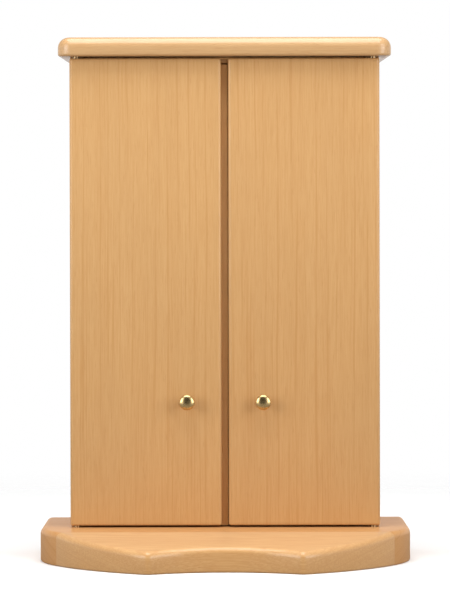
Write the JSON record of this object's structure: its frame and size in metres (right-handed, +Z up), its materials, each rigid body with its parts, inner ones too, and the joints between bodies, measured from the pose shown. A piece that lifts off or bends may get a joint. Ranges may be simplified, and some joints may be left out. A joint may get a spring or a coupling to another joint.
{
  "type": "wooden altar",
  "caption": "Tabletop wooden altar cabinet with a hollow box, pivoting doors with round knobs, a shaped base and an overhanging top board.",
  "frame": {"origin": "middle of the underside of the base, on the surface it stands on", "axes": "+Z up, +Y to the back, +X to the right as seen facing the doors"},
  "size_m": [0.3118, 0.2499, 0.44],
  "materials": {
    "wood": "satin varnish",
    "light_wood": "satin varnish",
    "brass": "polished"
  },
  "bodies": {
    "cabinet": {"base_rear_board": "wood", "base_front_board": "light_wood", "left_side_panel": "wood", "right_side_panel": "wood", "back_panel": "wood", "door_stop_rail": "wood", "top_board": "light_wood", "left_door_top_pin": "brass", "left_door_bottom_pin": "brass", "right_door_top_pin": "brass", "right_door_bottom_pin": "brass"},
    "left_door_body": {"left_door": "wood", "meeting_strip": "wood", "left_knob": "brass"},
    "right_door_body": {"right_door": "wood", "right_knob": "brass"}
  },
  "joints": [
    {"name": "left_door_pivot", "type": "hinge", "parent": "cabinet", "child": "left_door_body", "pos_m": [-0.1248, 0.01, 0.0296], "axis": [0, 0, -1], "range_deg": [0, 180]},
    {"name": "right_door_pivot", "type": "hinge", "parent": "cabinet", "child": "right_door_body", "pos_m": [0.1248, 0.01, 0.0296], "axis": [0, 0, 1], "range_deg": [0, 180]}
  ]
}
